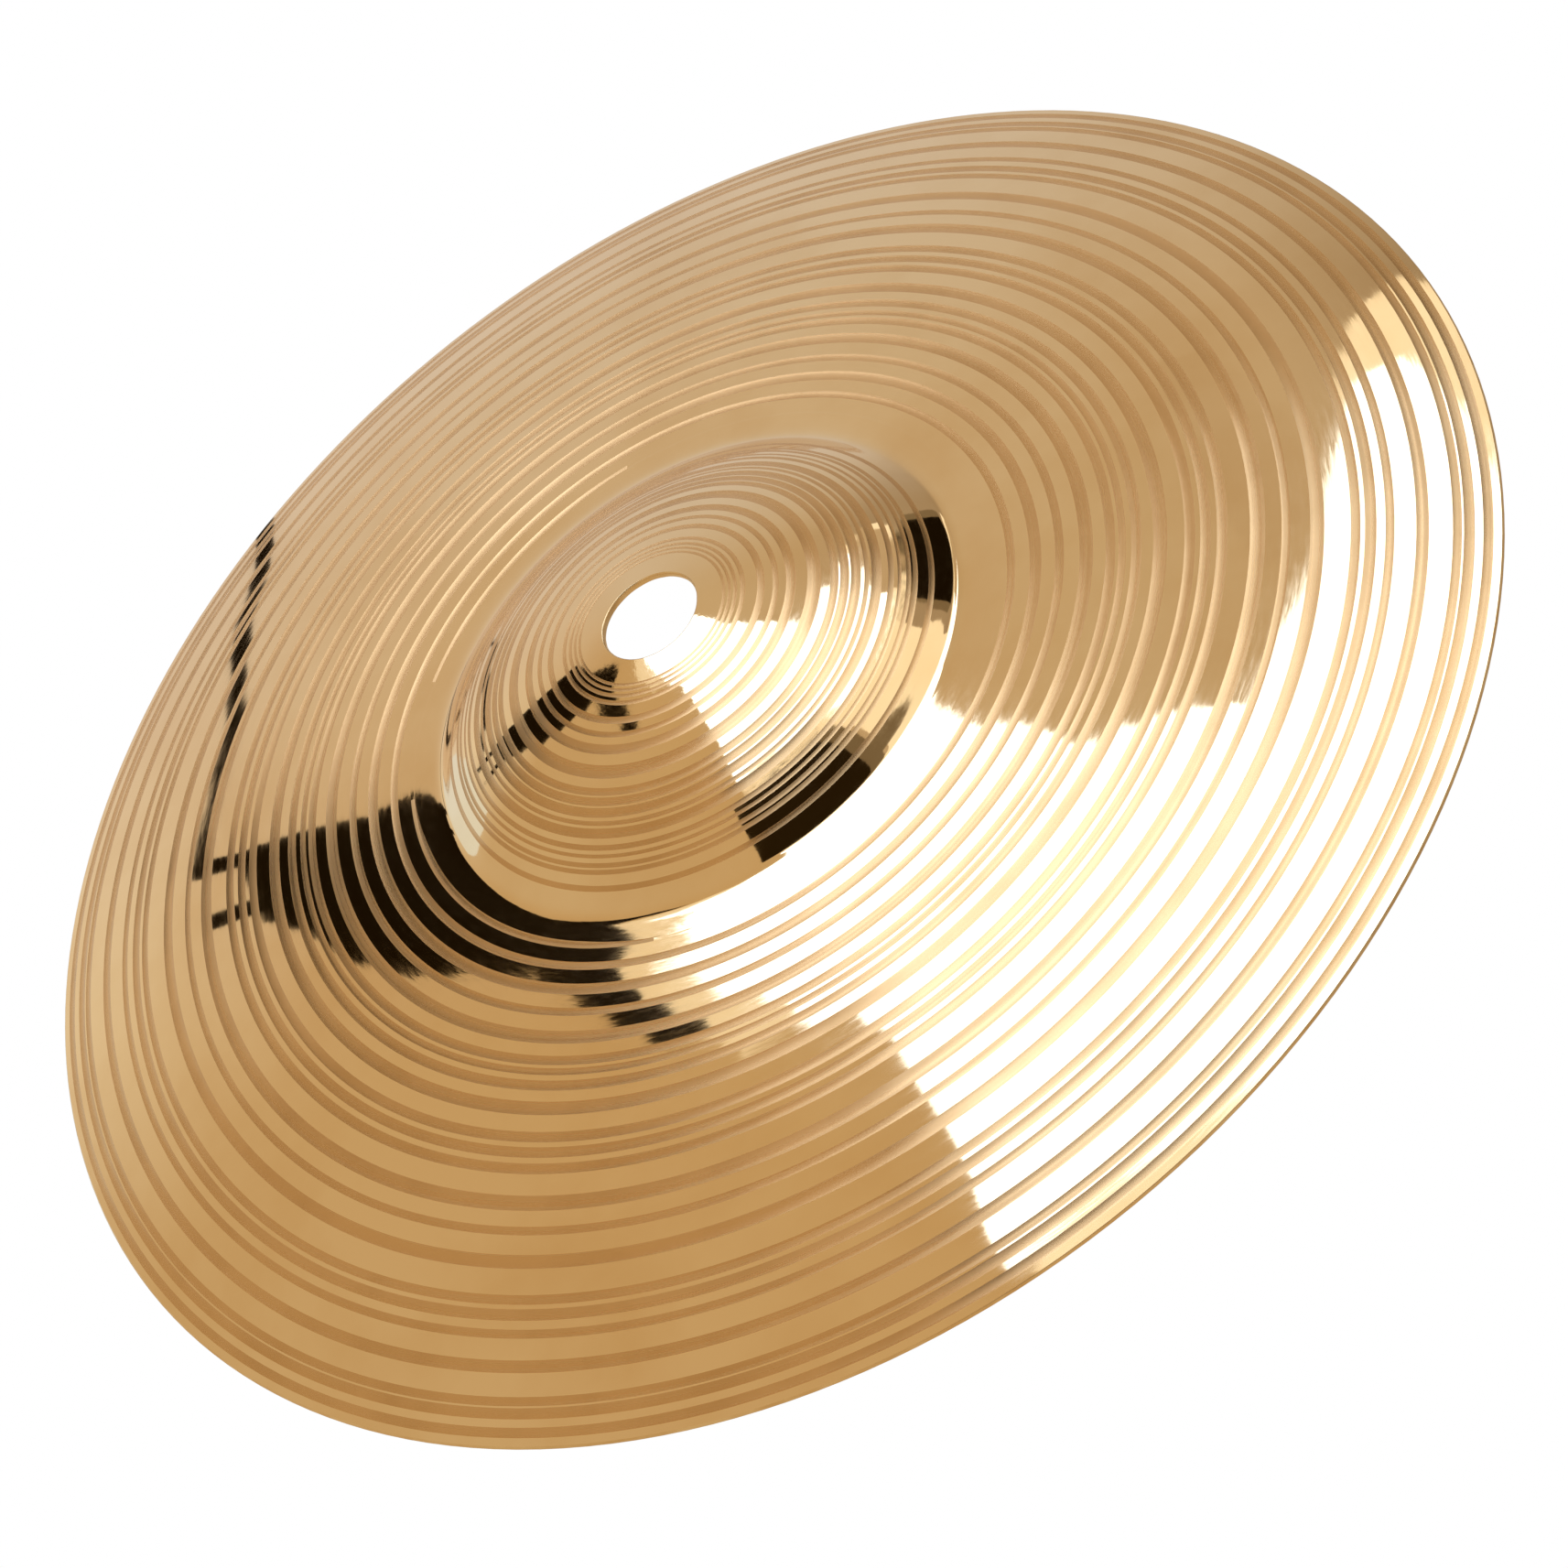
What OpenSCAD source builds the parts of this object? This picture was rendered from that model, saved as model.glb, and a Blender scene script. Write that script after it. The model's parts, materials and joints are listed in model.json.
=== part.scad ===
// A small cast-bronze cymbal: one thin dished sheet with a raised bell, a centre
// hole and lathed tone grooves, turned about +Z. The rim's lowest edge is at z = 0.

/* [Cymbal] */
// Diameter over the rim
diameter = 203.2; // [150:0.1:280]
// Rise of the bow's crown above the rim
bow_rise = 10.9; // [6:0.1:18]
// Sheet thickness at the rim
rim_sheet = 0.6; // [0.5:0.05:1.2]
// Sheet thickness in the bell
bell_sheet = 0.9; // [0.7:0.05:1.6]

/* [Bell] */
// Diameter of the crease where the bell meets the bow
bell_diameter = 72.8; // [60:0.1:84]
// Rise of the bell's top above its crease
bell_rise = 11.6; // [8:0.1:16]
// Share of that rise taken up by the steep shoulder just above the crease
bell_shoulder = 0.12; // [0:0.01:0.3]
// Rounding of the crease, measured as the height it fills
crease_round = 0.6; // [0.2:0.1:1]
// Diameter of the centre hole
hole_diameter = 13; // [10:0.1:16]
// Rounding of the hole's upper and lower edges
hole_edge = 0.2; // [0.1:0.05:0.25]

/* [Shelf] */
// Width of the level ring between the bell's crease and the start of the bow's fall
shelf_width = 4.6; // [1:0.1:8]

/* [Lathing] */
// Depth of a groove for each millimetre of its width
groove_ratio = 0.04; // [0.02:0.01:0.06]
// Spacing of the broad tool passes on the underside
under_pitch = 3.4; // [2.4:0.1:6]
// Share of that spacing that each pass cuts
under_share = 0.6; // [0.3:0.05:0.9]
// Distance between profile points on the smooth lands
land_step = 2; // [1:0.1:4]

/* [Hidden] */

bronze = [0.80, 0.66, 0.42];
facets = 360;          // exact surface of revolution; only the preview uses this
slope_step = 0.01;     // half width of the interval a slope is measured over
crease_step = 0.4;     // profile points are closer together round the crease
crease_reach = 1.8;    // how far the closer points run on both sides of the crease
rim_points = 8;        // points on the half-round rim edge
groove_points = 4;     // straight stretches across one groove

rim_r = diameter / 2;
hole_r = hole_diameter / 2;
bell_r = bell_diameter / 2;
crown_r = bell_r + shelf_width;
bell_top = bow_rise + bell_rise;
bow_radius = (pow(rim_r - crown_r, 2) + pow(bow_rise, 2)) / (2 * bow_rise);

// Tone grooves as the lathe tool left them: [inner radius, width], on a disc and a
// bell of these two sizes, in the uneven rhythm of a hand-held tool
lathed_diameter = 203.2;
lathed_bell = 72.8;
bow_passes = [
    [40.1, 1.0], [43.0, 1.1], [46.0, 1.5], [49.3, 1.1], [52.4, 1.7], [55.7, 1.2], [57.3, 0.9],
    [58.9, 1.3], [61.6, 1.7], [65.4, 1.3], [67.3, 1.3], [69.3, 1.3], [73.2, 1.8],
    [76.9, 1.0], [80.2, 1.6], [84.8, 1.1], [86.4, 1.3], [88.7, 1.0], [92.1, 1.4],
    [96.1, 1.0], [97.3, 1.2], [99.4, 1.1]
];
bell_passes = [
    [9.9, 0.4], [10.6, 0.4], [11.3, 0.5], [12.2, 0.6], [14.3, 0.9], [16.2, 0.7],
    [17.8, 1.2], [20.3, 1.6], [23.0, 0.9], [24.1, 1.0], [25.3, 1.1], [26.8, 0.5],
    [27.6, 1.1], [29.4, 0.6], [30.4, 0.4], [31.3, 0.5], [32.0, 0.5], [33.6, 0.6]
];
bow_grooves = bow_passes * diameter / lathed_diameter;
bell_grooves = bell_passes * bell_diameter / lathed_bell;
under_width = under_pitch * under_share;
under_first = crown_r + under_pitch;
under_count = floor((rim_r - under_pitch - under_first) / under_pitch);
under_grooves = [for (i = [0 : under_count]) [under_first + i * under_pitch, under_width]];

// Height of the bell's outer face at radius r, continued past the crease
function bell_z(r) =
    let (t = r / bell_r)
    bell_top - bell_rise * ((1 - bell_shoulder) * pow(t, 2) + bell_shoulder * pow(t, 8));

// Height of the bow at radius r: level on the shelf, then a long arc down to the rim
function bow_z(r) =
    let (reach = min(max(0, r - crown_r), bow_radius))
    bow_rise - bow_radius + sqrt(pow(bow_radius, 2) - pow(reach, 2));

// Height of the whole upper face: the higher of bell and bow, with the crease rounded
function top_z(r) =
    let (a = bell_z(r), b = bow_z(r))
    (a + b + sqrt(pow(a - b, 2) + pow(crease_round, 2))) / 2;

function slope(r) = (top_z(r + slope_step) - top_z(r - slope_step)) / (2 * slope_step);

// Unit vector square to the upper face at radius r, pointing up
function face_normal(r) = let (s = slope(r)) [-s, 1] / sqrt(1 + pow(s, 2));

// Sheet thickness at radius r, full over the bell and thinning out to the rim
function sheet(r) =
    let (t = max(0, (r - bell_r) / (rim_r - bell_r)))
    bell_sheet + (rim_sheet - bell_sheet) * t;

// Depth of the groove at radius r: a shallow hollow in each pass, nothing on a land
function groove_depth(r, grooves) =
    max([0, for (g = grooves) let (t = (r - g[0]) / g[1]) if (t > 0 && t < 1)
        4 * groove_ratio * g[1] * t * (1 - t)]);

function top_point(r) =
    [r, top_z(r)] - groove_depth(r, concat(bell_grooves, bow_grooves)) * face_normal(r);

function under_point(r) =
    [r, top_z(r)] - (sheet(r) - groove_depth(r, under_grooves)) * face_normal(r);

// Radii from a up to but not including b, no more than step apart
function land_radii(a, b, step) =
    let (n = max(1, ceil((b - a) / step))) [for (i = [0 : n - 1]) a + (b - a) * i / n];

// Radii across a stretch with grooves in it, from a up to but not including b
function lathed_radii(a, b, grooves) =
    let (last = len(grooves)) [for (i = [0 : last])
        let (from = i == 0 ? a : grooves[i - 1][0] + grooves[i - 1][1],
             to = i == last ? b : grooves[i][0],
             cut = i == last ? [] :
                 [for (k = [0 : groove_points - 1]) to + grooves[i][1] * k / groove_points])
        each concat(land_radii(from, to, land_step), cut)];

hole_start = hole_r + hole_edge;
crease_start = bell_r - crease_reach;
crease_end = bell_r + crease_reach;
rim_lean = asin((rim_r - crown_r) / bow_radius);
edge_r = rim_r - rim_sheet / 2 * (1 - sin(rim_lean));

top_radii = concat(
    lathed_radii(hole_start, crease_start, bell_grooves),
    land_radii(crease_start, crease_end, crease_step),
    lathed_radii(crease_end, edge_r, bow_grooves));
under_radii = concat(
    land_radii(hole_start, crease_start, land_step),
    land_radii(crease_start, crease_end, crease_step),
    lathed_radii(crease_end, edge_r, under_grooves));

// Half-round rim edge, from the upper face round to the underside
rim_centre = [rim_r - rim_sheet / 2, top_z(edge_r) - rim_sheet / 2 * cos(rim_lean)];
rim_edge = [for (i = [0 : rim_points])
    let (a = 90 - rim_lean - 180 * i / rim_points)
    rim_centre + rim_sheet / 2 * [cos(a), sin(a)]];

// Rounded lips and straight wall of the hole, from the underside up to the top face
hole_low = under_point(hole_start);
hole_high = top_point(hole_start);
lip = hole_edge * (1 - sqrt(0.5));
hole_wall = [
    [hole_r + lip, hole_low[1] + lip],
    [hole_r, hole_low[1] + hole_edge],
    [hole_r, hole_high[1] - hole_edge],
    [hole_r + lip, hole_high[1] - lip]
];

module sheet_section()
    polygon(concat(
        [for (r = top_radii) top_point(r)],
        rim_edge,
        [for (i = [len(under_radii) - 1 : -1 : 0]) under_point(under_radii[i])],
        hole_wall));

module cymbal()
    color(bronze)
    translate([0, 0, rim_sheet / 2 - rim_centre[1]])
    rotate_extrude($fn = facets)
    sheet_section();

cymbal();
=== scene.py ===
"""Looks of a small cast bell-bronze cymbal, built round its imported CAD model.

The cymbal is one thin dished sheet turned about +Z, with its rim's lowest edge at z = 0.
Sizes are in millimetres inside the classes and become metres when a mesh is made.
"""

import json
import logging
import math
from dataclasses import dataclass, replace
from enum import Enum

import bpy
from mathutils import Matrix, Vector, noise


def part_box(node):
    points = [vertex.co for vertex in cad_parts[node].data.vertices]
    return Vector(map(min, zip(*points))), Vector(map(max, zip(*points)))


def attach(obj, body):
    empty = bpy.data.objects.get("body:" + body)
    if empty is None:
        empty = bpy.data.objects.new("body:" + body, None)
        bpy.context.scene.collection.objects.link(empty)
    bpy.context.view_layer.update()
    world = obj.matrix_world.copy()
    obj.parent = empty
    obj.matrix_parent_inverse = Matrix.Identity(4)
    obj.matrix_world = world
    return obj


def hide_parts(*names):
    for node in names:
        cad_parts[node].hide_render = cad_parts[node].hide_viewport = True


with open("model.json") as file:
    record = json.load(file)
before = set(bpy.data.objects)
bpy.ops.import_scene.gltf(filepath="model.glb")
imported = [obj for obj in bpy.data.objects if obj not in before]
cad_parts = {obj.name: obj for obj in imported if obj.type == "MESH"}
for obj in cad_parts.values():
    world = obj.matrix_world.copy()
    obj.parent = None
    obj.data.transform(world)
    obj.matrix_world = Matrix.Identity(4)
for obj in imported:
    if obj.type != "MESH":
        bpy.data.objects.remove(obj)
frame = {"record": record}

LOG = logging.getLogger("cymbal")
MM = 0.001  # metres in a millimetre
MICRON = 0.001  # millimetres in a micrometre


def linear(hex_colour: str) -> tuple[float, float, float, float]:
    """Turns an sRGB hex colour into linear light.

    Args:
        hex_colour: the colour as "#RRGGBB".

    Returns:
        Linear red, green, blue and an alpha of 1.
    """
    parts = [int(hex_colour[i : i + 2], 16) / 255 for i in (1, 3, 5)]
    return (*[c / 12.92 if c <= 0.04045 else ((c + 0.055) / 1.055) ** 2.4 for c in parts], 1.0)


def add_node(
    tree: bpy.types.NodeTree, kind: str, settings: dict[str, str] | None = None, **inputs: object
) -> bpy.types.Node:
    """Adds one node with its settings, values and links.

    Args:
        tree: the node tree that gets the node.
        kind: Blender's type name of the node.
        settings: the node's own properties, by name.
        inputs: a value or an output socket for each input, named in lower case with _ for a
            space, or by place as i0, i1 and so on.

    Returns:
        The new node.
    """
    node = tree.nodes.new(kind)
    for name, value in (settings or {}).items():
        setattr(node, name, value)
    by_name = {socket.name.lower().replace(" ", "_"): socket for socket in reversed(node.inputs)}
    for name, value in inputs.items():
        place = name[1:]
        socket = node.inputs[int(place)] if name[0] == "i" and place.isdigit() else by_name[name]
        if isinstance(value, bpy.types.NodeSocket):
            tree.links.new(value, socket)
        else:
            socket.default_value = value
    return node


class Band(Enum):
    """The finish of one turned band of the cymbal, as its place in the material list."""

    LAND = 0
    GROOVE = 1
    EDGE = 2
    UNDERSIDE = 3
    UNDER_GROOVE = 4


@dataclass(frozen=True)
class Noise:
    """How one noise pattern is built up and which part of its range is used."""

    detail: float
    roughness: float
    low: float
    high: float


# Lines of the tool and the cloth: few octaves, so that they run on as clean rings.
LINES = Noise(detail=1.5, roughness=0.5, low=0.3, high=0.7)
# Slow cloudy patches where the metal was worked a little more or less.
PATCHES = Noise(detail=4.0, roughness=0.55, low=0.42, high=0.75)
MOST_TINT = 0.8  # share of the tint in the middle of a patch
MID_RADIUS = 60.0  # mm, where a streak has its stated length
ACROSS = 0.25  # of a full turn: the smear runs across the rings, not along them


@dataclass(frozen=True)
class TurnedBronze:
    """Bell bronze turned on a lathe: copper with a fifth of tin, a pale yellow metal.

    The tool and the cloth both run round the axis, so the metal mirrors sharply along a ring and
    smears across it, and its grain is fine rings that come and go.
    """

    name: str
    colour: str  # face colour of the clean metal
    tint: str  # colour where the cloth or the tool has missed a little
    roughness: float
    roughness_spread: float  # how much the grain changes it
    anisotropy: float
    ring_mm: float  # spacing of the tool or cloth lines across a ring
    streak_mm: float  # length of a line along the ring, at MID_RADIUS from the axis
    depth_um: float  # height of the lines
    mottle_mm: float  # size of the slow colour patches

    def grain(self, tree: bpy.types.NodeTree, place: bpy.types.NodeSocket) -> bpy.types.NodeSocket:
        """Adds the lines that run round the axis: noise that is stretched along the rings.

        Args:
            tree: the material's node tree.
            place: the point on the cymbal.

        Returns:
            The noise's output, from 0 to 1.
        """
        apart = add_node(tree, "ShaderNodeSeparateXYZ", vector=place)
        flat = add_node(tree, "ShaderNodeCombineXYZ", x=apart.outputs["X"], y=apart.outputs["Y"])
        radius = add_node(tree, "ShaderNodeVectorMath", {"operation": "LENGTH"}, i0=flat.outputs[0])
        about = add_node(tree, "ShaderNodeVectorMath", {"operation": "NORMALIZE"}, i0=flat.outputs[0])
        turn = add_node(tree, "ShaderNodeSeparateXYZ", vector=about.outputs[0])
        multiply = {"operation": "MULTIPLY"}
        rings = 1 / (self.ring_mm * MM)
        streaks = MID_RADIUS / self.streak_mm
        across = add_node(tree, "ShaderNodeMath", multiply, i0=radius.outputs["Value"], i1=rings)
        round_x = add_node(tree, "ShaderNodeMath", multiply, i0=turn.outputs["X"], i1=streaks)
        round_y = add_node(tree, "ShaderNodeMath", multiply, i0=turn.outputs["Y"], i1=streaks)
        ring_space = add_node(
            tree, "ShaderNodeCombineXYZ", x=round_x.outputs[0], y=round_y.outputs[0], z=across.outputs[0]
        )
        lines = add_node(
            tree,
            "ShaderNodeTexNoise",
            vector=ring_space.outputs[0],
            scale=1.0,
            detail=LINES.detail,
            roughness=LINES.roughness,
        )
        return lines.outputs["Fac"]

    def face_colour(self, tree: bpy.types.NodeTree, place: bpy.types.NodeSocket) -> bpy.types.NodeSocket:
        """Adds the metal's colour, with slow patches of the tint.

        Args:
            tree: the material's node tree.
            place: the point on the cymbal.

        Returns:
            The colour output.
        """
        mottle = add_node(
            tree,
            "ShaderNodeTexNoise",
            vector=place,
            scale=1 / (self.mottle_mm * MM),
            detail=PATCHES.detail,
            roughness=PATCHES.roughness,
        )
        cloudy = add_node(
            tree,
            "ShaderNodeMapRange",
            value=mottle.outputs["Fac"],
            from_min=PATCHES.low,
            from_max=PATCHES.high,
            to_min=0.0,
            to_max=MOST_TINT,
        )
        mixed = add_node(
            tree,
            "ShaderNodeMix",
            {"data_type": "RGBA"},
            i0=cloudy.outputs[0],
            i6=linear(self.colour),
            i7=linear(self.tint),
        )
        return mixed.outputs[2]

    def material(self) -> bpy.types.Material:
        """Makes the node material of this finish.

        Returns:
            The new material.
        """
        material = bpy.data.materials.new(self.name)
        material.use_nodes = True
        tree = material.node_tree
        tree.nodes.clear()
        place = add_node(tree, "ShaderNodeTexCoord").outputs["Object"]
        grain = self.grain(tree, place)
        rough = add_node(
            tree,
            "ShaderNodeMapRange",
            value=grain,
            from_min=LINES.low,
            from_max=LINES.high,
            to_min=self.roughness - self.roughness_spread / 2,
            to_max=self.roughness + self.roughness_spread / 2,
        )
        bump = add_node(
            tree, "ShaderNodeBump", strength=1.0, distance=self.depth_um * MICRON * MM, height=grain
        )
        tangent = add_node(tree, "ShaderNodeTangent", {"direction_type": "RADIAL", "axis": "Z"})
        metal = add_node(
            tree,
            "ShaderNodeBsdfPrincipled",
            base_color=self.face_colour(tree, place),
            metallic=1.0,
            roughness=rough.outputs[0],
            normal=bump.outputs[0],
            anisotropic=self.anisotropy,
            anisotropic_rotation=ACROSS,
            tangent=tangent.outputs[0],
        )
        add_node(tree, "ShaderNodeOutputMaterial", surface=metal.outputs[0])
        return material


FINISHES = {
    # Cloth-polished face left between the tone grooves: it mirrors the studio almost whole,
    # with the edges of its reflections a little frayed by the grain. The cloth's scratches are
    # some hundredths of a millimetre apart and are drawn at 0.5 mm, so that they show.
    Band.LAND: TurnedBronze(
        name="polished_bell_bronze",
        colour="#E8CC9C",
        tint="#DDBB85",
        roughness=0.05,
        roughness_spread=0.03,
        anisotropy=0.75,
        ring_mm=0.5,
        streak_mm=2.5,
        depth_um=2.0,
        mottle_mm=22.0,
    ),
    # Tone groove as the tool left it: satin rings that smear the light out along the radius.
    # The tool's own lines are about 0.1 mm apart and are drawn at 0.5 mm, so that they show.
    Band.GROOVE: TurnedBronze(
        name="satin_turned_bell_bronze",
        colour="#D0A871",
        tint="#BF9761",
        roughness=0.27,
        roughness_spread=0.1,
        anisotropy=0.9,
        ring_mm=0.5,
        streak_mm=240.0,
        depth_um=2.5,
        mottle_mm=15.0,
    ),
    # Cut and broken edges of the rim and the hole: brighter, plainly ground metal. The marks of
    # the grinding are under 0.1 mm apart and are drawn at 0.3 mm, so that they show.
    Band.EDGE: TurnedBronze(
        name="ground_edge_bell_bronze",
        colour="#E3C590",
        tint="#CFA76B",
        roughness=0.3,
        roughness_spread=0.08,
        anisotropy=0.4,
        ring_mm=0.3,
        streak_mm=8.0,
        depth_um=1.0,
        mottle_mm=6.0,
    ),
    # Underside, turned with a broad tool and not polished: dull satin with bolder lines, one for
    # each 0.6 mm that the tool moved on in a turn.
    Band.UNDERSIDE: TurnedBronze(
        name="underside_bell_bronze",
        colour="#D3AE76",
        tint="#B98F58",
        roughness=0.3,
        roughness_spread=0.1,
        anisotropy=0.7,
        ring_mm=0.6,
        streak_mm=50.0,
        depth_um=2.0,
        mottle_mm=25.0,
    ),
    # Broad tool pass on the underside: the dullest of the turned finishes, with the tool moved on
    # more slowly, 0.4 mm in a turn.
    Band.UNDER_GROOVE: TurnedBronze(
        name="underside_groove_bell_bronze",
        colour="#C9A169",
        tint="#AE834D",
        roughness=0.4,
        roughness_spread=0.1,
        anisotropy=0.85,
        ring_mm=0.4,
        streak_mm=60.0,
        depth_um=3.0,
        mottle_mm=15.0,
    ),
}

ARC_FADE = 16.0  # degrees over which a skimming pass dies out at each end of its arcs
LEAST_WIDTH = 0.15  # share of a skimming pass's width that its points keep where it is not cut


@dataclass(frozen=True)
class Groove:
    """One pass of the lathe tool: where it starts and how wide it is, in millimetres.

    A pass that only skimmed the face has the arcs, in degrees, where it shows at all.
    """

    start: float
    width: float
    arcs: tuple[tuple[float, float], ...] = ()

    @property
    def end(self) -> float:
        """Outer radius of the groove."""
        return self.start + self.width

    @property
    def middle(self) -> float:
        """Radius of the groove's middle."""
        return self.start + self.width / 2

    def presence(self, angle: float) -> float:
        """How fully the pass is cut at an angle about the axis.

        Args:
            angle: angle in degrees, from 0 to 360.

        Returns:
            1 for a full cut down to 0 for an untouched face.
        """
        if not self.arcs:
            return 1.0
        inside = max(min(angle - low, high - angle) for low, high in self.arcs)
        return min(1.0, max(0.0, inside / ARC_FADE))


@dataclass(frozen=True)
class Ring:
    """One ring of points round the axis, and what runs from it to the next."""

    radius: float
    height: float
    band: Band
    crisp: bool = False
    skim: Groove | None = None  # the skimming pass that the ring belongs to
    fill: float = 0.0  # height that the groove takes off this ring, in millimetres


# Start and width of each pass, in the uneven rhythm of a hand-held tool.
BELL_PASSES = (
    (9.9, 0.4), (10.6, 0.4), (11.3, 0.5), (12.2, 0.6), (14.3, 0.9), (16.2, 0.7), (17.8, 1.2),
    (20.3, 1.6), (23.0, 0.9), (24.1, 1.0), (25.3, 1.1), (26.8, 0.5), (27.6, 1.1), (29.4, 0.6),
    (30.4, 0.4), (31.3, 0.5), (32.0, 0.5), (33.6, 0.6),
)
BOW_PASSES = (
    (43.0, 1.1), (46.0, 1.5), (49.3, 1.1), (52.4, 1.7), (55.7, 1.2), (57.3, 0.9), (58.9, 1.3),
    (61.6, 1.7), (65.4, 1.3), (67.3, 1.3), (69.3, 1.3), (73.2, 1.8), (76.9, 1.0), (80.2, 1.6),
    (84.8, 1.1), (86.4, 1.3), (88.7, 1.0), (92.1, 1.4), (96.1, 1.0), (97.3, 1.2), (99.4, 1.1),
)
SKIM_PASS = Groove(40.1, 1.0, ((74.0, 134.0), (156.0, 236.0)))
TONE_GROOVES = (*(Groove(*at) for at in BELL_PASSES), SKIM_PASS, *(Groove(*at) for at in BOW_PASSES))


@dataclass
class CymbalSheet:
    """The cymbal itself: bow, level shelf, bell, centre hole, rim edge and lathed grooves."""

    rim_radius: float
    hole_radius: float
    bow_rise: float = 10.9
    rim_sheet: float = 0.6
    bell_sheet: float = 0.9
    bell_radius: float = 36.4
    bell_rise: float = 11.6
    bell_shoulder: float = 0.12  # share of that rise taken up by the steep shoulder
    shoulder_power: int = 8
    crease_round: float = 0.6
    shelf_width: float = 4.6
    grooves: tuple[Groove, ...] = TONE_GROOVES
    groove_ratio: float = 0.04  # depth for each millimetre of width
    under_pitch: float = 3.4
    under_share: float = 0.6
    hole_edge: float = 0.2
    lip_reach: float = 0.6  # how far from the hole its lip is uneven
    lip_wear: float = 0.08  # most that the lip is worn back
    lip_lumps: float = 3.0  # how closely the uneven places follow one another
    land_step: float = 2.2  # distance between profile points
    crease_step: float = 0.35
    crease_reach: float = 2.1
    narrow_groove: float = 0.8  # width under which a groove is drawn with fewer points
    narrow_steps: int = 4
    groove_steps: int = 6
    rim_points: int = 6
    segments: int = 200
    slope_step: float = 0.01

    @classmethod
    def from_frame(cls, record: dict) -> "CymbalSheet":
        """Takes the rim's size from the CAD node and the hole's from the record's mount.

        Args:
            record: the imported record.

        Returns:
            The cymbal, ready to build.
        """
        low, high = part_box("cymbal")
        hole = next(m for m in record["mounts"] if m["name"] == "stand_hole")
        return cls(rim_radius=(high.x - low.x) / 2 / MM, hole_radius=hole["dims"]["r_mm"])

    @property
    def crown_radius(self) -> float:
        """Radius of the bow's crown, where the level shelf ends and the fall to the rim starts."""
        return self.bell_radius + self.shelf_width

    @property
    def bow_radius(self) -> float:
        """Radius of the arc that the bow follows from its crown to the rim."""
        reach = self.rim_radius - self.crown_radius
        return (reach**2 + self.bow_rise**2) / (2 * self.bow_rise)

    def bell_height(self, r: float) -> float:
        """Height of the bell's outer face, continued past the crease.

        Args:
            r: the radius.

        Returns:
            The height above the rim.
        """
        t = r / self.bell_radius
        share = (1 - self.bell_shoulder) * t**2 + self.bell_shoulder * t**self.shoulder_power
        return self.bow_rise + self.bell_rise * (1 - share)

    def bow_height(self, r: float) -> float:
        """Height of the bow at radius r: level on the shelf, then a long arc down to the rim."""
        reach = min(max(0.0, r - self.crown_radius), self.bow_radius)
        return self.bow_rise - self.bow_radius + math.sqrt(self.bow_radius**2 - reach**2)

    def top_height(self, r: float) -> float:
        """Height of the whole upper face: the higher of bell and bow, with a rounded crease."""
        a, b = self.bell_height(r), self.bow_height(r)
        return (a + b + math.hypot(a - b, self.crease_round)) / 2

    def sheet(self, r: float) -> float:
        """Sheet thickness at radius r, full over the bell and thinning out to the rim."""
        t = max(0.0, (r - self.bell_radius) / (self.rim_radius - self.bell_radius))
        return self.bell_sheet + (self.rim_sheet - self.bell_sheet) * t

    def cut_depth(self, r: float, grooves: tuple[Groove, ...]) -> float:
        """Depth of the groove at a radius: a shallow hollow in each pass, nothing on a land.

        Args:
            r: the radius.
            grooves: the passes on that side of the sheet.

        Returns:
            The depth in millimetres.
        """
        for groove in grooves:
            t = (r - groove.start) / groove.width
            if 0 < t < 1:
                return 4 * self.groove_ratio * groove.width * t * (1 - t)
        return 0.0

    def off_face(self, r: float, depth: float) -> tuple[float, float]:
        """A point square below the smooth upper face.

        Args:
            r: radius on the upper face.
            depth: how far below it.

        Returns:
            Radius and height of the point.
        """
        step = self.slope_step
        slope = (self.top_height(r + step) - self.top_height(r - step)) / (2 * step)
        size = math.hypot(slope, 1)
        return r + depth * slope / size, self.top_height(r) - depth / size

    def under_grooves(self) -> tuple[Groove, ...]:
        """The broad, even tool passes on the underside of the bow.

        Returns:
            The passes, from the axis outwards.
        """
        first = self.crown_radius + self.under_pitch
        count = int((self.rim_radius - self.under_pitch - first) / self.under_pitch)
        width = self.under_pitch * self.under_share
        return tuple(Groove(first + i * self.under_pitch, width) for i in range(count + 1))

    def stations(
        self, start: float, end: float, grooves: tuple[Groove, ...], land: Band, cut: Band
    ) -> list[tuple[float, Band, bool]]:
        """Radii of the profile's points from start to end, with the band that follows each.

        Args:
            start: first radius.
            end: radius that the last band runs up to, not itself in the list.
            grooves: the passes in this stretch, from the axis outwards.
            land: the band between the passes.
            cut: the band of a pass.

        Returns:
            (radius, band, whether the ring is a crisp border) for each point.
        """
        found = []
        at = start
        for groove in [*[g for g in grooves if start < g.start < end], None]:
            stop = end if groove is None else groove.start
            near = abs(at - self.bell_radius) < self.crease_reach or at < self.bell_radius < stop
            count = max(1, math.ceil((stop - at) / (self.crease_step if near else self.land_step)))
            found += [(at + (stop - at) * i / count, land, i == 0) for i in range(count)]
            if groove is not None:
                coarse = groove.width < self.narrow_groove or cut is Band.UNDER_GROOVE
                count = self.narrow_steps if coarse else self.groove_steps
                found += [(stop + groove.width * i / count, cut, i == 0) for i in range(count)]
                at = groove.end
        return found

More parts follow.
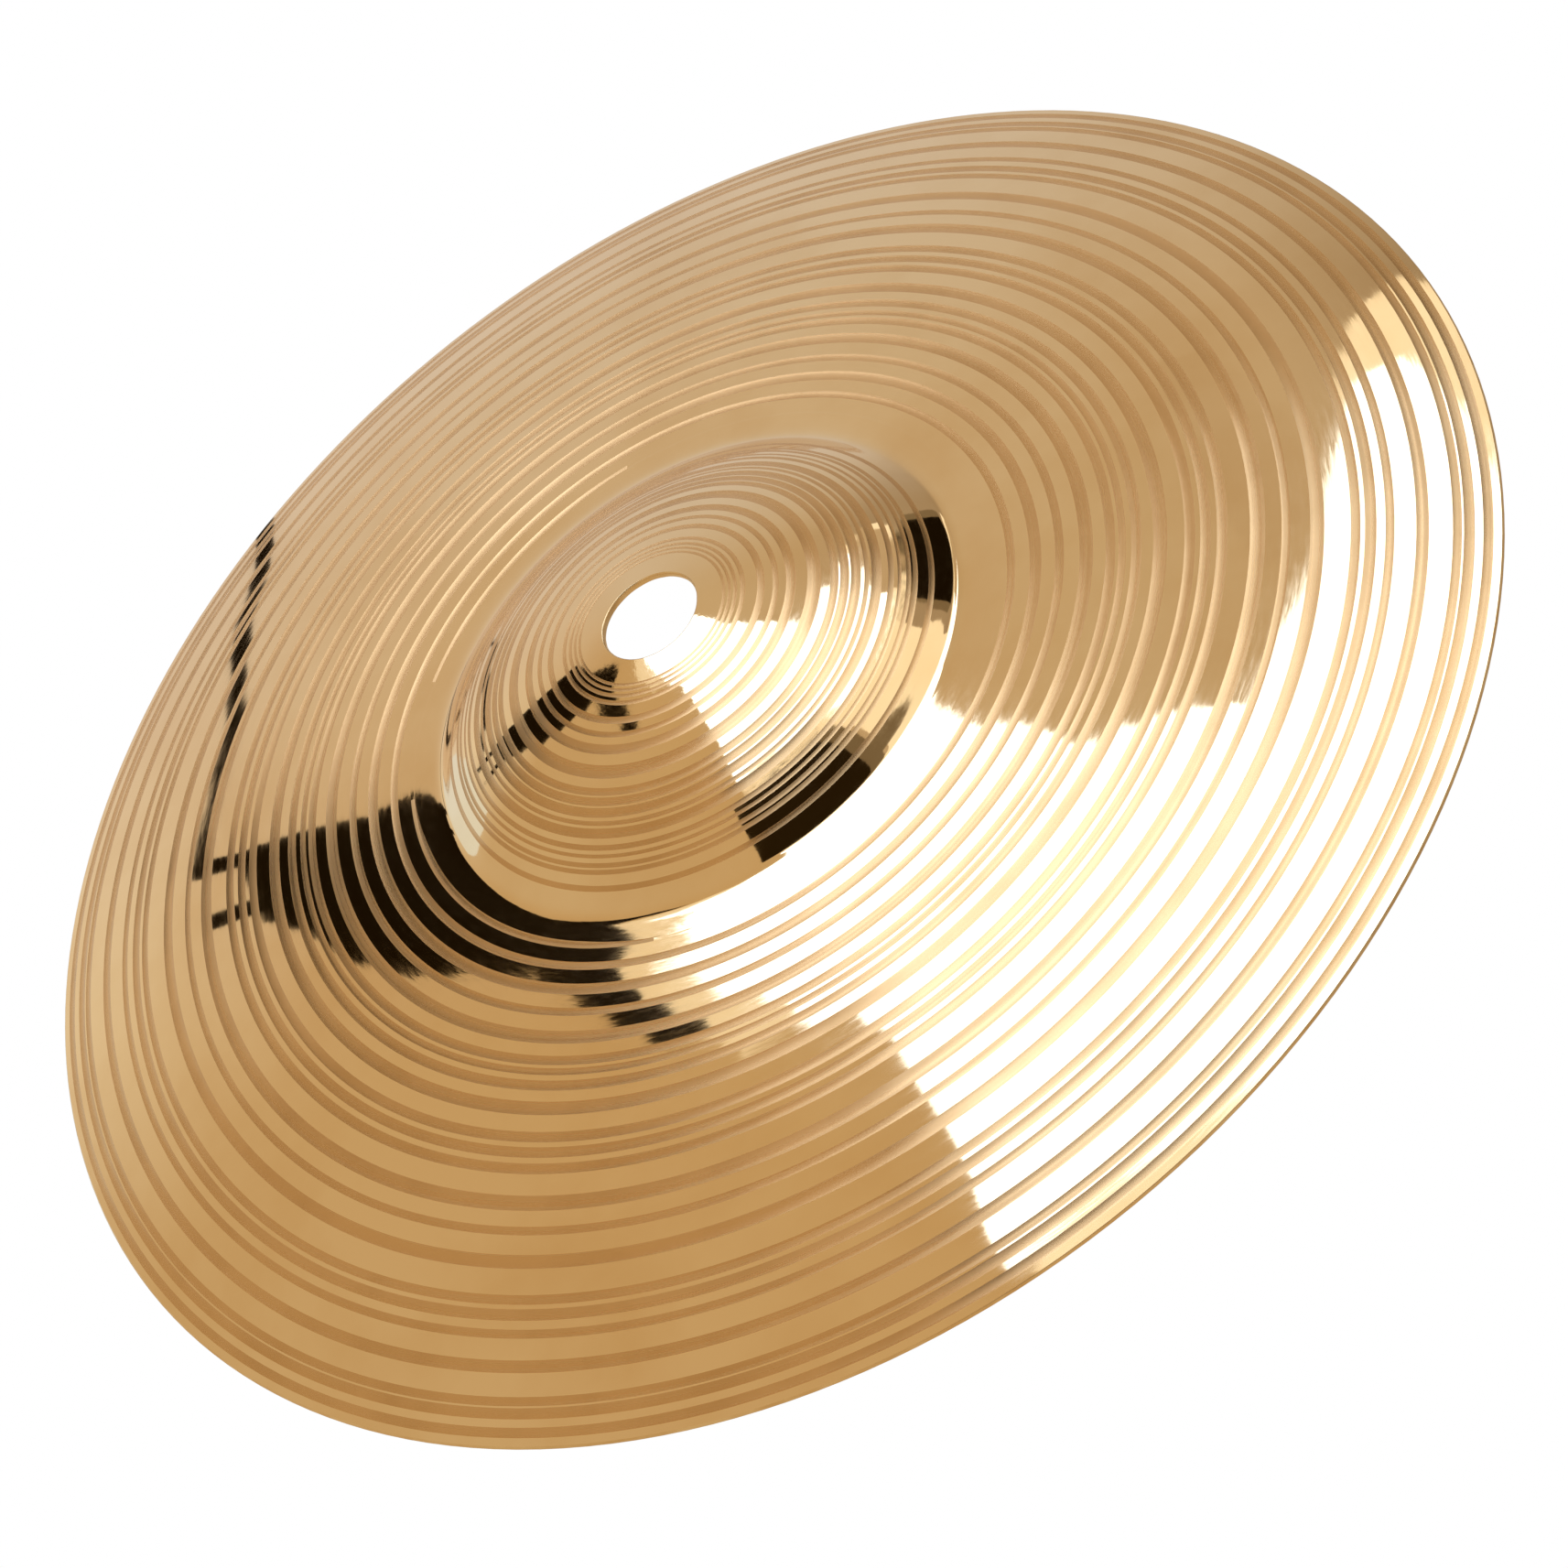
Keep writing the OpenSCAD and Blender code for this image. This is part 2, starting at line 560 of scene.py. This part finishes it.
    def top_rings(self, start: float, edge: float) -> list[Ring]:
        """The upper face from the hole's rounding out to the rim's.

        Args:
            start: radius where the hole's rounding ends.
            edge: radius where the rim's rounding starts.

        Returns:
            The rings, from the axis outwards.
        """
        made = []
        for r, band, crisp in self.stations(start, edge, self.grooves, Band.LAND, Band.GROOVE):
            depth = self.cut_depth(r, self.grooves)
            skim = next((g for g in self.grooves if g.arcs and g.start <= r < g.end), None)
            made.append(Ring(*self.off_face(r, depth), band, crisp, skim, depth))
        return made

    def rim_rings(self, lean: float, middle: float) -> list[Ring]:
        """The half-round rim edge, from the upper face round to the underside.

        Args:
            lean: the bow's slope at the rim, in radians.
            middle: height of the rounding's centre.

        Returns:
            The rings, from the top down.
        """
        half = self.rim_sheet / 2
        made = []
        for i in range(self.rim_points):
            a = math.pi / 2 - lean - math.pi * i / self.rim_points
            radius = self.rim_radius - half + half * math.cos(a)
            made.append(Ring(radius, middle + half * math.sin(a), Band.EDGE, i == 0))
        return made

    def under_rings(self, start: float, edge: float) -> list[Ring]:
        """The underside, from the rim back to the hole.

        Args:
            start: radius where the hole's rounding ends.
            edge: radius where the rim's rounding starts.

        Returns:
            The rings, from the rim inwards.
        """
        grooves = self.under_grooves()
        points = self.stations(start, edge, grooves, Band.UNDERSIDE, Band.UNDER_GROOVE)
        points.append((edge, Band.UNDERSIDE, True))
        made = []
        for (_, band, _), (r, _, crisp) in reversed(list(zip(points, points[1:]))):
            depth = self.sheet(r) - self.cut_depth(r, grooves)
            made.append(Ring(*self.off_face(r, depth), band, crisp))
        return made

    def hole_rings(self, start: float) -> list[Ring]:
        """The hole's rounded lips and straight wall, from the underside up.

        Args:
            start: radius where the hole's rounding ends.

        Returns:
            The rings, from the underside to just under the upper face.
        """
        low_r, low_z = self.off_face(start, self.sheet(start))
        high_z = self.off_face(start, 0.0)[1]
        lip = self.hole_edge * (1 - math.sqrt(0.5))
        wall = [
            (low_r, low_z),
            (self.hole_radius + lip, low_z + lip),
            (self.hole_radius, low_z + self.hole_edge),
            (self.hole_radius, high_z - self.hole_edge),
            (self.hole_radius + lip, high_z - lip),
        ]
        return [Ring(r, z, Band.EDGE, i == 0) for i, (r, z) in enumerate(wall)]

    def rings(self) -> list[Ring]:
        """The closed profile, from the hole out over the top, round the rim and back beneath.

        Returns:
            The rings, with the rim's lowest edge at height 0.
        """
        lean = math.asin((self.rim_radius - self.crown_radius) / self.bow_radius)
        half = self.rim_sheet / 2
        edge = self.rim_radius - half * (1 - math.sin(lean))
        middle = self.top_height(edge) - half * math.cos(lean)
        start = self.hole_radius + self.hole_edge
        made = [
            *self.top_rings(start, edge),
            *self.rim_rings(lean, middle),
            *self.under_rings(start, edge),
            *self.hole_rings(start),
        ]
        lift = half - middle
        return [replace(ring, height=ring.height + lift) for ring in made]

    def worn_radius(self, ring: Ring, angle: float) -> float:
        """Radius of a ring's point, with the hole's lip slightly uneven from handling.

        Args:
            ring: the ring.
            angle: angle about the axis, in radians.

        Returns:
            The radius in millimetres.
        """
        share = max(0.0, 1 - (ring.radius - self.hole_radius) / self.lip_reach)
        if share <= 0:
            return ring.radius
        lumps = self.lip_lumps
        spot = Vector((lumps * math.cos(angle), lumps * math.sin(angle), ring.height))
        return ring.radius + share * self.lip_wear * abs(noise.noise(spot))

    def point(self, ring: Ring, angle: float) -> tuple[float, float, float]:
        """One point of a ring.

        Args:
            ring: the ring.
            angle: angle about the axis, in radians.

        Returns:
            The point in metres.
        """
        r, z = self.worn_radius(ring, angle), ring.height
        if ring.skim:
            cut = ring.skim.presence(math.degrees(angle))
            r = ring.skim.middle + (r - ring.skim.middle) * max(cut, LEAST_WIDTH)
            z += ring.fill * (1 - cut)
        return r * math.cos(angle) * MM, r * math.sin(angle) * MM, z * MM

    def band_at(self, ring: Ring, angle: float) -> Band:
        """The band after a ring at an angle in degrees: a skimmed pass shows on its arcs only."""
        untouched = ring.skim is not None and ring.skim.presence(angle) < LEAST_WIDTH
        return Band.LAND if untouched else ring.band

    def build(self) -> bpy.types.Object:
        """Makes the cymbal's mesh, with the finish of each band.

        Returns:
            The new object, linked to the scene.
        """
        rings = self.rings()
        count, around = len(rings), self.segments
        points = [self.point(ring, 2 * math.pi * j / around) for ring in rings for j in range(around)]
        faces = []
        for i in range(count):
            here, there = i * around, (i + 1) % count * around
            for j in range(around):
                k = (j + 1) % around
                faces.append((here + j, there + j, there + k, here + k))
        mesh = bpy.data.meshes.new("cast_bronze_cymbal")
        mesh.from_pydata(points, [], faces)
        mesh.polygons.foreach_set("use_smooth", [True] * len(faces))
        bands = [self.band_at(ring, 360 * (j + 0.5) / around) for ring in rings for j in range(around)]
        mesh.polygons.foreach_set("material_index", [band.value for band in bands])
        crisp_rings = {i for i, ring in enumerate(rings) if ring.crisp}
        for edge in mesh.edges:
            a, b = (corner // around for corner in edge.vertices)
            edge.use_edge_sharp = a == b and a in crisp_rings
        for band in Band:
            mesh.materials.append(FINISHES[band].material())
        mesh.validate()
        mesh.update()
        cymbal = bpy.data.objects.new("cast_bronze_cymbal", mesh)
        bpy.context.scene.collection.objects.link(cymbal)
        LOG.info("cymbal: %d rings of %d points, %d faces", count, around, len(faces))
        return cymbal


class Paint(Enum):
    """Colour of a studio surface, as an sRGB hex value."""

    WHITE = "#FFFFFF"
    COOL_WHITE = "#C9DAFF"
    WARM_WHITE = "#FFFAF5"
    CREAM = "#FFF6EA"
    PALE_BLUE = "#E6F0FF"
    SAND = "#D3C1AC"
    BROWN_CLOTH = "#8C7E6B"
    BLACK_CLOTH = "#1A1206"


class Reach(Enum):
    """Distance of a studio card from the cymbal, in metres. A nearer card hides a farther one."""

    BESIDE = 0.17
    FLAGS = 1.0
    FLAG_EDGES = 1.1
    LEFT_SKIRT = 1.19
    SOFTBOX = 1.2
    WALL = 1.3
    RIGHT_SKIRT = 1.35


STUDIO_MIDDLE = Vector((0, 0, 10 * MM))  # what the cards hang round: the middle of the bow


def sky_point(east: float, north: float, distance: float) -> Vector:
    """A point of the studio round the cymbal.

    Args:
        east: degrees from straight up towards +X.
        north: degrees from straight up towards +Y, away from the camera.
        distance: metres from the cymbal.

    Returns:
        The point.
    """
    off = math.hypot(east, north)
    tilt = math.radians(off)
    flat = math.sin(tilt) / off if off else 0.0
    return Vector((flat * east, flat * north, math.cos(tilt))) * distance + STUDIO_MIDDLE


def glow_material(name: str, paint: Paint, strength: float) -> bpy.types.Material:
    """A plain, evenly lit studio surface.

    Args:
        name: the material's name.
        paint: its colour.
        strength: its brightness, 1 for paper white.

    Returns:
        The new material.
    """
    material = bpy.data.materials.new(name)
    material.use_nodes = True
    tree = material.node_tree
    tree.nodes.clear()
    glow = add_node(tree, "ShaderNodeEmission", color=linear(paint.value), strength=strength)
    add_node(tree, "ShaderNodeOutputMaterial", surface=glow.outputs[0])
    return material


@dataclass(frozen=True)
class Card:
    """A studio card, flag or soft light seen by the metal but not by the camera.

    Its corners are degrees from straight up: (east, north).
    """

    name: str
    corners: tuple[tuple[float, float], ...]
    paint: Paint
    strength: float
    reach: Reach

    def build(self) -> bpy.types.Object:
        """Makes the card.

        Returns:
            The new object, hidden from the camera and from shadows.
        """
        mesh = bpy.data.meshes.new(self.name)
        points = [sky_point(east, north, self.reach.value) for east, north in self.corners]
        mesh.from_pydata(points, [], [tuple(range(len(points)))])
        mesh.materials.append(glow_material(self.name, self.paint, self.strength))
        mesh.update()
        card = bpy.data.objects.new(self.name, mesh)
        bpy.context.scene.collection.objects.link(card)
        card.visible_camera = False
        card.visible_shadow = False
        return card


CARDS = (
    Card(
        "overhead_softbox",
        (
            (-8.2, -3.4), (-7.6, 0.3), (-5.9, 5.9), (-5, 11), (-4.5, 16.7), (-3.2, 25.3), (-5.5, 29),
            (-8.5, 34), (-8, 38), (-6.5, 44), (-4, 48), (3, 47), (5, 42), (8, 37), (10, 32), (15, 28),
            (20, 23), (25, 25.5), (30, 29), (34, 34), (38, 37), (42, 37), (44, 31), (43.5, 24),
            (41, 16), (37, 9), (32, 3), (23, -3), (14, -4.6), (6, -4.4), (0, -3.4),
        ),
        Paint.COOL_WHITE,
        4.4,
        Reach.SOFTBOX,
    ),
    # Cloth round the softbox's far corner and near edge, lit through from it.
    Card(
        "softbox_right_skirt",
        (
            (33, 30), (36, 38), (40, 42), (45, 44), (48, 41), (48, 32), (46.5, 22), (43, 14), (41, 10),
            (46, 5), (54, 7), (57, 3), (50, -3), (42, -10), (34, -16), (25, -21), (20, -12), (14, -8),
            (0, -9), (-9, -7), (-3, 0), (28, 15),
        ),
        Paint.WARM_WHITE,
        1.35,
        Reach.RIGHT_SKIRT,
    ),
    # A sand-coloured card held low beside the rim, which keeps the softbox off the bell's flank.
    Card(
        "bell_dimmer",
        ((42, 13), (50, 13), (54, 22), (52, 34), (46, 38), (43, 28)),
        Paint.SAND,
        1.0,
        Reach.BESIDE,
    ),
    Card(
        "softbox_skirt",
        ((-8.5, 30), (-8.6, 38), (-7, 44), (-4.5, 48), (-3.5, 48), (-5, 38), (-5.5, 30)),
        Paint.CREAM,
        1.1,
        Reach.LEFT_SKIRT,
    ),
    Card(
        "camera_side_flag",
        (
            (-13, -9.5), (-3, -8.5), (6, -8.5), (11, -9.5), (14, -13), (18, -24), (23, -32), (25, -42),
            (-20, -42),
        ),
        Paint.BLACK_CLOTH,
        2.0,
        Reach.FLAGS,
    ),
    Card(
        "camera_side_flag_edge",
        (
            (4, -8), (9, -7.5), (13, -6.5), (17, -9), (22, -20), (31, -16), (40, -12), (46, -22),
            (40, -42), (18, -42), (8, -8),
        ),
        Paint.BROWN_CLOTH,
        0.9,
        Reach.FLAG_EDGES,
    ),
    Card(
        "right_flag",
        ((49, 14), (48.5, 20), (49, 37), (53, 43), (62, 45), (70, 42), (70, 12), (60, 9), (54, 12)),
        Paint.BLACK_CLOTH,
        1.0,
        Reach.FLAGS,
    ),
    Card(
        "right_flag_edge",
        ((46.5, 19), (47, 28), (48, 38), (52, 45), (60, 49), (70, 50), (70, 8), (58, 7), (50, 10)),
        Paint.BROWN_CLOTH,
        1.0,
        Reach.FLAG_EDGES,
    ),
    Card(
        "left_flag",
        (
            (-41.5, 59.3), (-35, 57), (-30, 55), (-25, 53), (-18, 51.5), (-16.5, 46), (-12.5, 41),
            (-12.5, 38.5), (-16, 36), (-17, 30), (-15.5, 22), (-19.5, 22), (-20.5, 30), (-21, 37.5),
            (-26, 39.5), (-30, 40.5), (-35, 44), (-38, 48.5), (-41.5, 51.5),
        ),
        Paint.BLACK_CLOTH,
        1.0,
        Reach.BESIDE,
    ),
    Card(
        "left_flag_upper_arm",
        ((-47, 61.8), (-41, 59.2), (-41, 57.6), (-47, 60)),
        Paint.BLACK_CLOTH,
        1.0,
        Reach.BESIDE,
    ),
    Card(
        "left_flag_lower_arm",
        ((-48, 56), (-41, 54), (-41, 52.4), (-48, 54.4)),
        Paint.BLACK_CLOTH,
        1.0,
        Reach.BESIDE,
    ),
    Card(
        "flag_cable",
        (
            (-46.8, 61), (-42, 66), (-37.2, 71.5), (-34.2, 77), (-31.6, 82), (-28.6, 85), (-26.4, 88),
            (-24.8, 92), (-22.4, 92), (-24, 88), (-26, 85), (-28.8, 82), (-31.8, 77), (-34.4, 71.5),
            (-39.6, 66), (-44.9, 60),
        ),
        Paint.BLACK_CLOTH,
        1.0,
        Reach.BESIDE,
    ),
    Card(
        "left_wall",
        ((-70, 56), (-46, 56), (-39, 75), (-36, 100), (-70, 100)),
        Paint.PALE_BLUE,
        1.15,
        Reach.WALL,
    ),
)

# The room's soft light from left to right, as the place and colour of each stop: first near the
# camera and overhead, then low at the far side.
NEAR_ROOM = (
    (0.1, "#CBB9A0"), (0.43, "#C6AE8C"), (0.58, "#CABBA8"), (0.72, "#C4B4A1"), (0.8, "#A69787"),
    (0.9, "#ADA093"),
)
FAR_ROOM = (
    (0.05, "#F0F5FF"), (0.28, "#E9E3DC"), (0.38, "#D8CEC9"), (0.55, "#D3CED0"), (0.9, "#C4C1C6"),
)


@dataclass
class Studio:
    """Plain pale floor, soft studio light and the cards that the metal mirrors."""

    floor_size: float = 6.0  # metres
    backdrop_radius: float = 5.0  # metres
    backdrop_segments: int = 48
    room_strength: float = 1.2
    far_start: float = 0.65  # how far north the far room's light starts, as part of a unit vector
    far_full: float = 0.98

    def build(self) -> None:
        """Makes the floor, the backdrop, the soft room light and the cards."""
        self.floor()
        self.backdrop()
        self.room()
        for card in CARDS:
            card.build()
            LOG.info("studio card: %s", card.name)

    def floor(self) -> None:
        """A plain pale floor, lit evenly from below so that nothing throws a shadow on it."""
        half = self.floor_size / 2
        mesh = bpy.data.meshes.new("floor")
        corners = [(-half, -half, 0), (half, -half, 0), (half, half, 0), (-half, half, 0)]
        mesh.from_pydata(corners, [], [(0, 1, 2, 3)])
        mesh.materials.append(glow_material("pale_floor", Paint.WHITE, 1.0))
        floor = bpy.data.objects.new("floor", mesh)
        floor.visible_glossy = floor.visible_diffuse = floor.visible_shadow = False
        bpy.context.scene.collection.objects.link(floor)

    def backdrop(self) -> None:
        """A plain white surround that only the camera sees."""
        bpy.ops.mesh.primitive_uv_sphere_add(
            segments=self.backdrop_segments,
            ring_count=self.backdrop_segments // 2,
            radius=self.backdrop_radius,
        )
        dome = bpy.context.object
        dome.name = "backdrop"
        dome.data.materials.append(glow_material("white_backdrop", Paint.WHITE, 1.0))
        dome.visible_glossy = dome.visible_diffuse = dome.visible_shadow = False
        dome.visible_transmission = False

    def room(self) -> None:
        """Soft warm room light: sandy to the left, brighter and cooler towards the far wall."""
        world = bpy.data.worlds.new("soft_room")
        world.use_nodes = True
        tree = world.node_tree
        tree.nodes.clear()
        direction = add_node(tree, "ShaderNodeTexCoord").outputs["Generated"]
        apart = add_node(tree, "ShaderNodeSeparateXYZ", vector=direction)
        east = add_node(tree, "ShaderNodeMapRange", value=apart.outputs["X"], from_min=-1.0, from_max=1.0)
        sides = []
        for stops in (NEAR_ROOM, FAR_ROOM):
            side = add_node(tree, "ShaderNodeValToRGB", fac=east.outputs[0])
            elements = side.color_ramp.elements
            while len(elements) < len(stops):
                elements.new(1.0)
            for element, (place, colour) in zip(elements, stops):
                element.position, element.color = place, linear(colour)
            sides.append(side.outputs[0])
        share = add_node(
            tree,
            "ShaderNodeMapRange",
            {"interpolation_type": "SMOOTHSTEP"},
            value=apart.outputs["Y"],
            from_min=self.far_start,
            from_max=self.far_full,
        )
        both = add_node(
            tree,
            "ShaderNodeMix",
            {"data_type": "RGBA"},
            i0=share.outputs[0],
            i6=sides[0],
            i7=sides[1],
        )
        background = add_node(
            tree, "ShaderNodeBackground", color=both.outputs[2], strength=self.room_strength
        )
        add_node(tree, "ShaderNodeOutputWorld", surface=background.outputs[0])
        bpy.context.scene.world = world


@dataclass
class Camera:
    """The studio camera, above the near edge and rolled on its own axis."""

    elevation: float = 42.97  # degrees above the floor
    roll: float = 39.48  # degrees anticlockwise
    lens: float = 96.67  # mm
    sensor: float = 36.0  # mm
    place: tuple[float, float, float] = (-0.4, -394.8, 354.4)  # mm
    clip: tuple[float, float] = (0.01, 20.0)  # metres

    def build(self) -> bpy.types.Object:
        """Makes the camera and sets it as the scene's.

        Returns:
            The camera object.
        """
        data = bpy.data.cameras.new("studio_camera")
        data.lens, data.sensor_width = self.lens, self.sensor
        data.clip_start, data.clip_end = self.clip
        camera = bpy.data.objects.new("studio_camera", data)
        roll, tilt = math.radians(self.roll), math.radians(self.elevation)
        se, ce, sr, cr = math.sin(tilt), math.cos(tilt), math.sin(roll), math.cos(roll)
        right, top, back = (cr, -se * sr, -ce * sr), (sr, se * cr, ce * cr), (0, -ce, se)
        turn = Matrix((right, top, back)).transposed().to_4x4()
        camera.matrix_world = Matrix.Translation(Vector(self.place) * MM) @ turn
        bpy.context.scene.collection.objects.link(camera)
        bpy.context.scene.camera = camera
        LOG.info("camera: %.2f mm lens, %.2f degrees up", self.lens, self.elevation)
        return camera


def main() -> None:
    """Builds the camera, the studio and the cymbal."""
    logging.basicConfig(level=logging.INFO, format="%(name)s: %(message)s")
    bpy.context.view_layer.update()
    # The plain tone curve keeps the studio's whites white and the bronze clear.
    bpy.context.scene.view_settings.view_transform = "Standard"
    Camera().build()
    Studio().build()
    cymbal = CymbalSheet.from_frame(frame["record"]).build()
    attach(cymbal, "root")
    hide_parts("cymbal")


if __name__ == "__main__":
    main()
